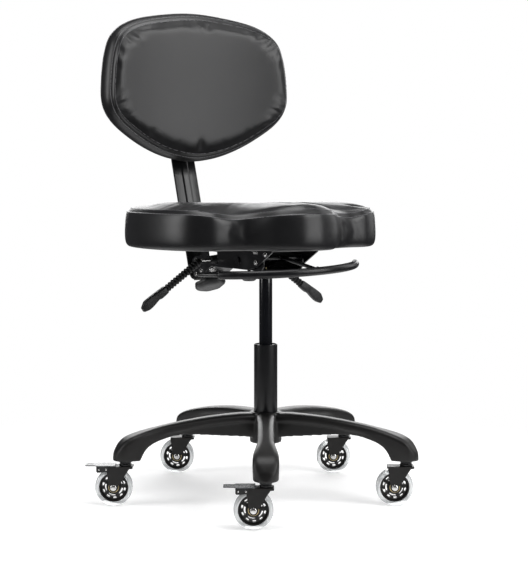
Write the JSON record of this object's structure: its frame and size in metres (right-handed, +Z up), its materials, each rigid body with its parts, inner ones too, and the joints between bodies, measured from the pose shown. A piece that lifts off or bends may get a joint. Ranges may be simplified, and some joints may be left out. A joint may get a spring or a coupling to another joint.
{
  "type": "swivel stool",
  "caption": "Adjustable swivel stool with a saddle-shaped upholstered seat, a padded back on a flat bar, a gas column, a ring release handle and a star base on braked casters.",
  "frame": {"origin": "on the floor at the middle of the stool's bounding box", "axes": "+Z up, along the column; the front of the seat points toward -Y"},
  "size_m": [0.6837, 0.6991, 1.054],
  "materials": {
    "nylon": "satin",
    "black_steel": "satin",
    "zinc_steel": "bright",
    "yellow_zinc": "satin",
    "clear_urethane": "gloss",
    "gaiter_rubber": "matt",
    "grey_plastic": "satin",
    "black_vinyl": "satin",
    "seat_liner": "matt"
  },
  "bodies": {
    "base": {"star_base": "nylon", "outer_tube": "black_steel", "guide_bush": "black_steel", "thrust_bearing": "zinc_steel"},
    "spindle": {"piston_rod": "zinc_steel", "retaining_clip": "zinc_steel"},
    "control": {"gas_cylinder": "black_steel", "mech_housing": "black_steel", "tilt_pin": "black_steel", "back_pin": "black_steel"},
    "valve": {"valve_button": "yellow_zinc"},
    "ring_handle": {"ring_rod": "black_steel", "ring_grip": "gaiter_rubber"},
    "right_lever": {"lever_rod_right": "zinc_steel", "bellows_right": "gaiter_rubber", "paddle_right": "grey_plastic"},
    "left_lever": {"lever_rod_left": "zinc_steel", "bellows_left": "gaiter_rubber", "paddle_left": "grey_plastic"},
    "tension": {"tension_knob": "grey_plastic"},
    "seat": {"seat_plate": "black_steel", "seat_board": "seat_liner", "seat_cushion": "black_vinyl"},
    "back_arm": {"back_bracket": "black_steel"},
    "clamp": {"back_knob": "grey_plastic"},
    "bar": {"back_bar": "black_steel"},
    "back": {"back_shell": "grey_plastic", "back_cushion": "black_vinyl"},
    "caster_1": {"caster_stem_1": "zinc_steel", "caster_fork_1": "nylon", "caster_axle_1": "zinc_steel"},
    "wheel_1": {"caster_wheel_1": "nylon", "caster_tyre_1": "clear_urethane", "caster_bearing_1": "yellow_zinc"},
    "brake_1": {"brake_pedal_1": "nylon"},
    "caster_2": {"caster_stem_2": "zinc_steel", "caster_fork_2": "nylon", "caster_axle_2": "zinc_steel"},
    "wheel_2": {"caster_wheel_2": "nylon", "caster_tyre_2": "clear_urethane", "caster_bearing_2": "yellow_zinc"},
    "caster_3": {"caster_stem_3": "zinc_steel", "caster_fork_3": "nylon", "caster_axle_3": "zinc_steel"},
    "wheel_3": {"caster_wheel_3": "nylon", "caster_tyre_3": "clear_urethane", "caster_bearing_3": "yellow_zinc"},
    "caster_4": {"caster_stem_4": "zinc_steel", "caster_fork_4": "nylon", "caster_axle_4": "zinc_steel"},
    "wheel_4": {"caster_wheel_4": "nylon", "caster_tyre_4": "clear_urethane", "caster_bearing_4": "yellow_zinc"},
    "caster_5": {"caster_stem_5": "zinc_steel", "caster_fork_5": "nylon", "caster_axle_5": "zinc_steel"},
    "wheel_5": {"caster_wheel_5": "nylon", "caster_tyre_5": "clear_urethane", "caster_bearing_5": "yellow_zinc"},
    "brake_5": {"brake_pedal_5": "nylon"}
  },
  "joints": [
    {"name": "seat_swivel", "type": "hinge", "parent": "base", "child": "spindle", "pos_m": [0.0348, -0.057, 0.2], "axis": [0, 0, 1], "continuous": true},
    {"name": "seat_height", "type": "slide", "parent": "spindle", "child": "control", "axis": [0, 0, 1], "range_m": [-0.115, 0.01]},
    {"name": "ring_lift", "type": "hinge", "parent": "control", "child": "ring_handle", "pos_m": [0.0348, -0.117, 0.5135], "axis": [-1, 0, 0], "range_deg": [0, 4], "stiffness_Nm_per_rad": 2},
    {"name": "valve_press", "type": "slide", "parent": "control", "child": "valve", "axis": [0, 0, 1], "range_m": [-0.0045, 0.0005]},
    {"name": "right_lever_lift", "type": "hinge", "parent": "control", "child": "right_lever", "pos_m": [-0.01245, 0.078, 0.502], "axis": [0, 1, 0], "range_deg": [0, 8], "stiffness_Nm_per_rad": 0.6},
    {"name": "left_lever_lift", "type": "hinge", "parent": "control", "child": "left_lever", "pos_m": [0.08205, 0.078, 0.502], "axis": [0, -1, 0], "range_deg": [0, 8], "stiffness_Nm_per_rad": 0.6},
    {"name": "tension_turn", "type": "hinge", "parent": "control", "child": "tension", "pos_m": [0.0348, 0.015, 0.47], "axis": [0, 0, 1], "continuous": true},
    {"name": "seat_tilt", "type": "hinge", "parent": "control", "child": "seat", "pos_m": [0.0348, -0.037, 0.506], "axis": [1, 0, 0], "range_deg": [-4, 4]},
    {"name": "back_angle", "type": "hinge", "parent": "control", "child": "back_arm", "pos_m": [0.0348, 0.093, 0.501], "axis": [1, 0, 0], "range_deg": [-10, 4]},
    {"name": "clamp_turn", "type": "hinge", "parent": "back_arm", "child": "clamp", "pos_m": [0.0348, 0.1954, 0.43727], "axis": [0, 0.4139, 0.9103], "continuous": true},
    {"name": "back_depth", "type": "slide", "parent": "back_arm", "child": "bar", "axis": [0, 0.9103, -0.4139], "range_m": [-0.005, 0.03]},
    {"name": "back_height", "type": "slide", "parent": "bar", "child": "back", "axis": [0, 0, 1], "range_m": [-0.008, 0.05]},
    {"name": "caster_swivel_1", "type": "hinge", "parent": "base", "child": "caster_1", "pos_m": [-0.11895, -0.3233, 0.1], "axis": [0, 0, 1], "continuous": true},
    {"name": "wheel_spin_1", "type": "hinge", "parent": "caster_1", "child": "wheel_1", "pos_m": [-0.13973, -0.3113, 0.039], "axis": [-0.5, -0.866, 0], "continuous": true},
    {"name": "brake_press_1", "type": "hinge", "parent": "caster_1", "child": "brake_1", "pos_m": [-0.15229, -0.30405, 0.0775], "axis": [-0.5, -0.866, 0], "range_deg": [0, 9]},
    {"name": "caster_swivel_2", "type": "hinge", "parent": "base", "child": "caster_2", "pos_m": [0.24056, -0.28552, 0.1], "axis": [0, 0, 1], "continuous": true},
    {"name": "wheel_spin_2", "type": "hinge", "parent": "caster_2", "child": "wheel_2", "pos_m": [0.21977, -0.27352, 0.039], "axis": [-0.5, -0.866, 0], "continuous": true},
    {"name": "caster_swivel_3", "type": "hinge", "parent": "base", "child": "caster_3", "pos_m": [0.31572, 0.06807, 0.1], "axis": [0, 0, 1], "continuous": true},
    {"name": "wheel_spin_3", "type": "hinge", "parent": "caster_3", "child": "wheel_3", "pos_m": [0.29493, 0.08007, 0.039], "axis": [-0.5, -0.866, 0], "continuous": true},
    {"name": "caster_swivel_4", "type": "hinge", "parent": "base", "child": "caster_4", "pos_m": [0.00266, 0.24882, 0.1], "axis": [0, 0, 1], "continuous": true},
    {"name": "wheel_spin_4", "type": "hinge", "parent": "caster_4", "child": "wheel_4", "pos_m": [-0.01813, 0.26082, 0.039], "axis": [-0.5, -0.866, 0], "continuous": true},
    {"name": "caster_swivel_5", "type": "hinge", "parent": "base", "child": "caster_5", "pos_m": [-0.26598, 0.00693, 0.1], "axis": [0, 0, 1], "continuous": true},
    {"name": "wheel_spin_5", "type": "hinge", "parent": "caster_5", "child": "wheel_5", "pos_m": [-0.28676, 0.01893, 0.039], "axis": [-0.5, -0.866, 0], "continuous": true},
    {"name": "brake_press_5", "type": "hinge", "parent": "caster_5", "child": "brake_5", "pos_m": [-0.29932, 0.02618, 0.0775], "axis": [-0.5, -0.866, 0], "range_deg": [0, 9]}
  ],
  "couplings": [
    {"joint": "valve_press", "follows": "ring_lift", "m_per_rad": -0.06}
  ]
}
